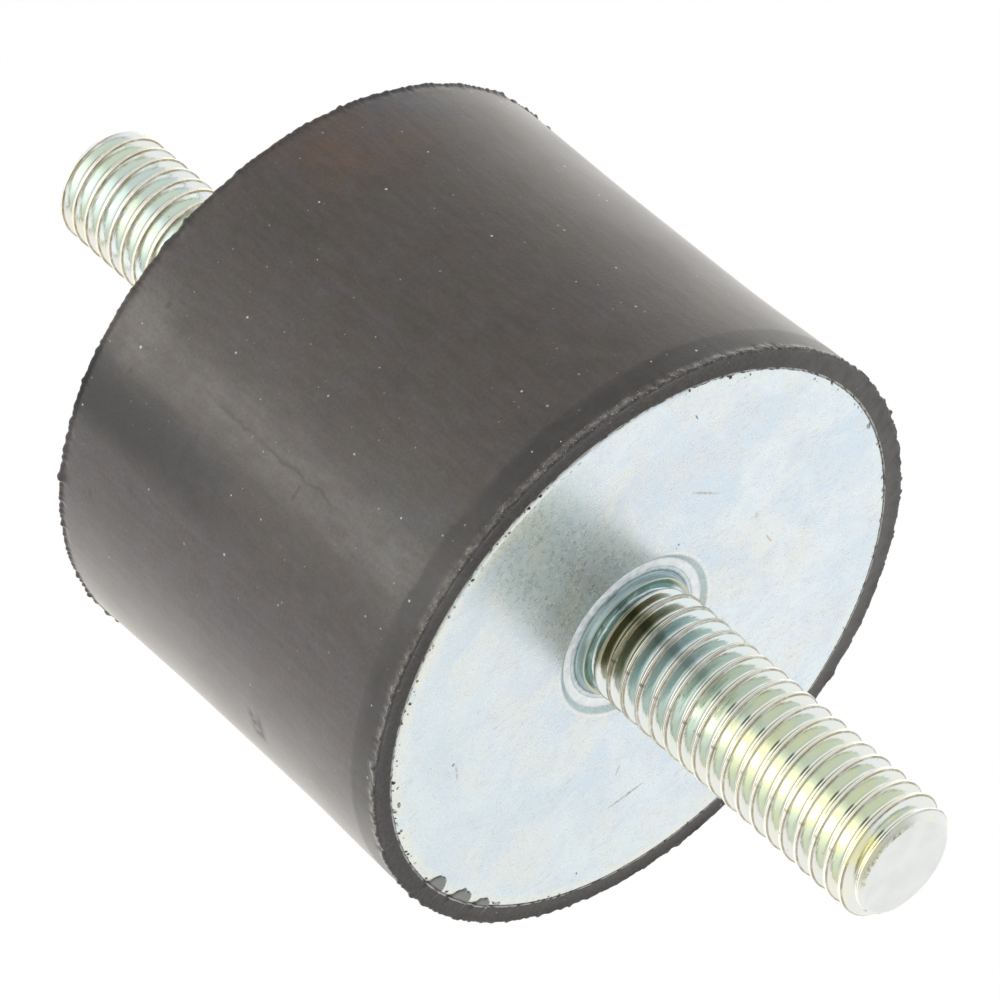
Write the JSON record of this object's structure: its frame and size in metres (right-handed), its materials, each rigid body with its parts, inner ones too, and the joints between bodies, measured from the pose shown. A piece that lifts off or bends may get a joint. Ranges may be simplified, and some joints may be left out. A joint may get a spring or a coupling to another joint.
{
  "type": "rubber vibration mount",
  "caption": "Cylindrical rubber vibration mount with a flush steel plate and a threaded stud on each end face.",
  "frame": {"origin": "on the axis, in the plane of the lower plate's flat seating land, where the lower stud leaves the mount", "axes": "+Z along both studs, from the lower end to the upper end; X and Y are any pair across it, since the part is turned"},
  "size_m": [0.0403, 0.0402, 0.0752],
  "materials": {
    "rubber": "satin moulded rubber with flash at the rims",
    "plate_zinc": "clear passivated zinc plate, fine grain",
    "stud_zinc": "bright zinc plate with faint yellow and green tints"
  },
  "bodies": {
    "root": {"rubber_body": "rubber", "lower_plate": "plate_zinc", "upper_plate": "plate_zinc", "lower_stud": "stud_zinc", "upper_stud": "stud_zinc"}
  },
  "joints": []
}
